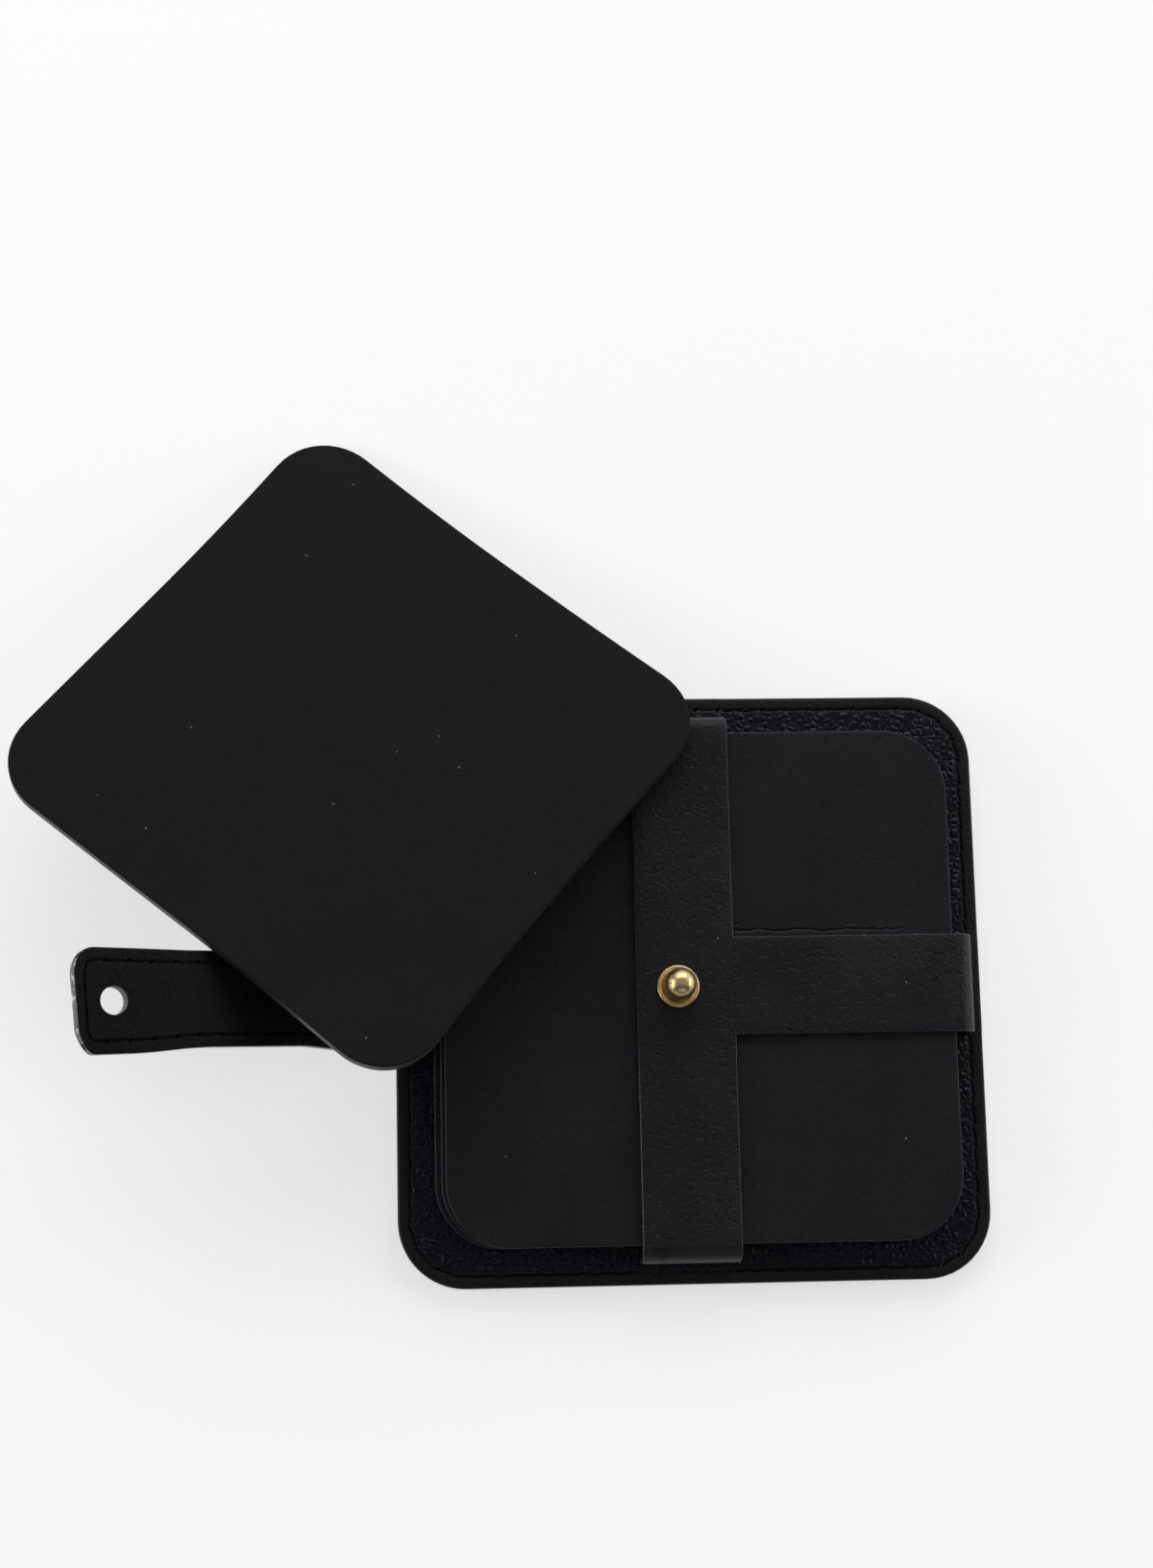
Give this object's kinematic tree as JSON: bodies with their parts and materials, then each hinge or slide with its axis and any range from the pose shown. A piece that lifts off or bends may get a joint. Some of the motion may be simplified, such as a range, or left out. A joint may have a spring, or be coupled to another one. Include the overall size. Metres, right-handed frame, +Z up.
{
  "type": "leather coaster set in a strap holder",
  "caption": "Square leather coasters stacked on a stitched base under a T-shaped retaining strap, with a closing strap that buttons over a ball stud.",
  "frame": {"origin": "middle of the base's underside, on the surface it lies on", "axes": "+Z up, +X towards the retaining strap's single arm, away from the closing strap; +Y towards the loose coaster"},
  "size_m": [0.1863, 0.1665, 0.043],
  "materials": {
    "outer_leather": "black leather with a fine grain, satin",
    "inner_leather": "navy-black pebbled leather, satin to glossy grain",
    "strap_leather": "black leather with a fine grain and raw-cut edges",
    "coaster_leather": "black leather with a fine grain, satin",
    "coaster_backing": "smooth matte greenish-black leather",
    "stiffener": "dark bonded leather board",
    "thread": "waxed black thread",
    "antique_brass": "antique brass, darkened in its hollows"
  },
  "bodies": {
    "holder": {"base_underside_panel": "outer_leather", "base_stiffener": "stiffener", "base_inner_panel": "inner_leather", "base_stitching": "thread", "retaining_strap": "strap_leather", "stud_head": "antique_brass", "stud_screw": "antique_brass", "closing_strap_tab": "outer_leather"},
    "strap_riser": {"riser_outer": "outer_leather", "riser_lining": "strap_leather"},
    "strap_flap": {"flap_outer": "outer_leather", "flap_lining": "strap_leather", "flap_stitching": "thread"},
    "loose_coaster": {"loose_coaster_face": "coaster_leather", "loose_coaster_backing": "coaster_backing"},
    "top_coaster": {"top_coaster_backing": "coaster_backing", "top_coaster_face": "coaster_leather"},
    "middle_coaster": {"middle_coaster_backing": "coaster_backing", "middle_coaster_face": "coaster_leather"},
    "low_coaster": {"low_coaster_backing": "coaster_backing", "low_coaster_face": "coaster_leather"}
  },
  "joints": [
    {"name": "strap_close", "type": "hinge", "parent": "holder", "child": "strap_riser", "pos_m": [-0.06074, -0.00301, 0.0027], "axis": [-0.0349, 0.9994, 0], "range_deg": [0, 54.64]},
    {"name": "strap_fold", "type": "hinge", "parent": "strap_riser", "child": "strap_flap", "pos_m": [-0.06457, -0.00315, 0.017], "axis": [-0.0349, 0.9994, 0], "range_deg": [0, 97.76]},
    {"name": "loose_coaster_turn", "type": "hinge", "parent": "holder", "child": "loose_coaster", "pos_m": [-0.06922, 0.10851, 0.00125], "axis": [-0.9827, 0.1854, 0], "range_deg": [0, 163]},
    {"name": "top_coaster_slide", "type": "slide", "parent": "holder", "child": "top_coaster", "axis": [1, 0, 0], "range_m": [-0.0015, 0]},
    {"name": "middle_coaster_slide", "type": "slide", "parent": "holder", "child": "middle_coaster", "axis": [1, 0, 0], "range_m": [-0.0015, 0]},
    {"name": "low_coaster_slide", "type": "slide", "parent": "holder", "child": "low_coaster", "axis": [1, 0, 0], "range_m": [-0.0015, 0]}
  ],
  "couplings": [
    {"joint": "strap_fold", "follows": "strap_close", "ratio": 1.7891},
    {"joint": "loose_coaster_turn", "follows": "strap_close", "ratio": 2.9831}
  ]
}
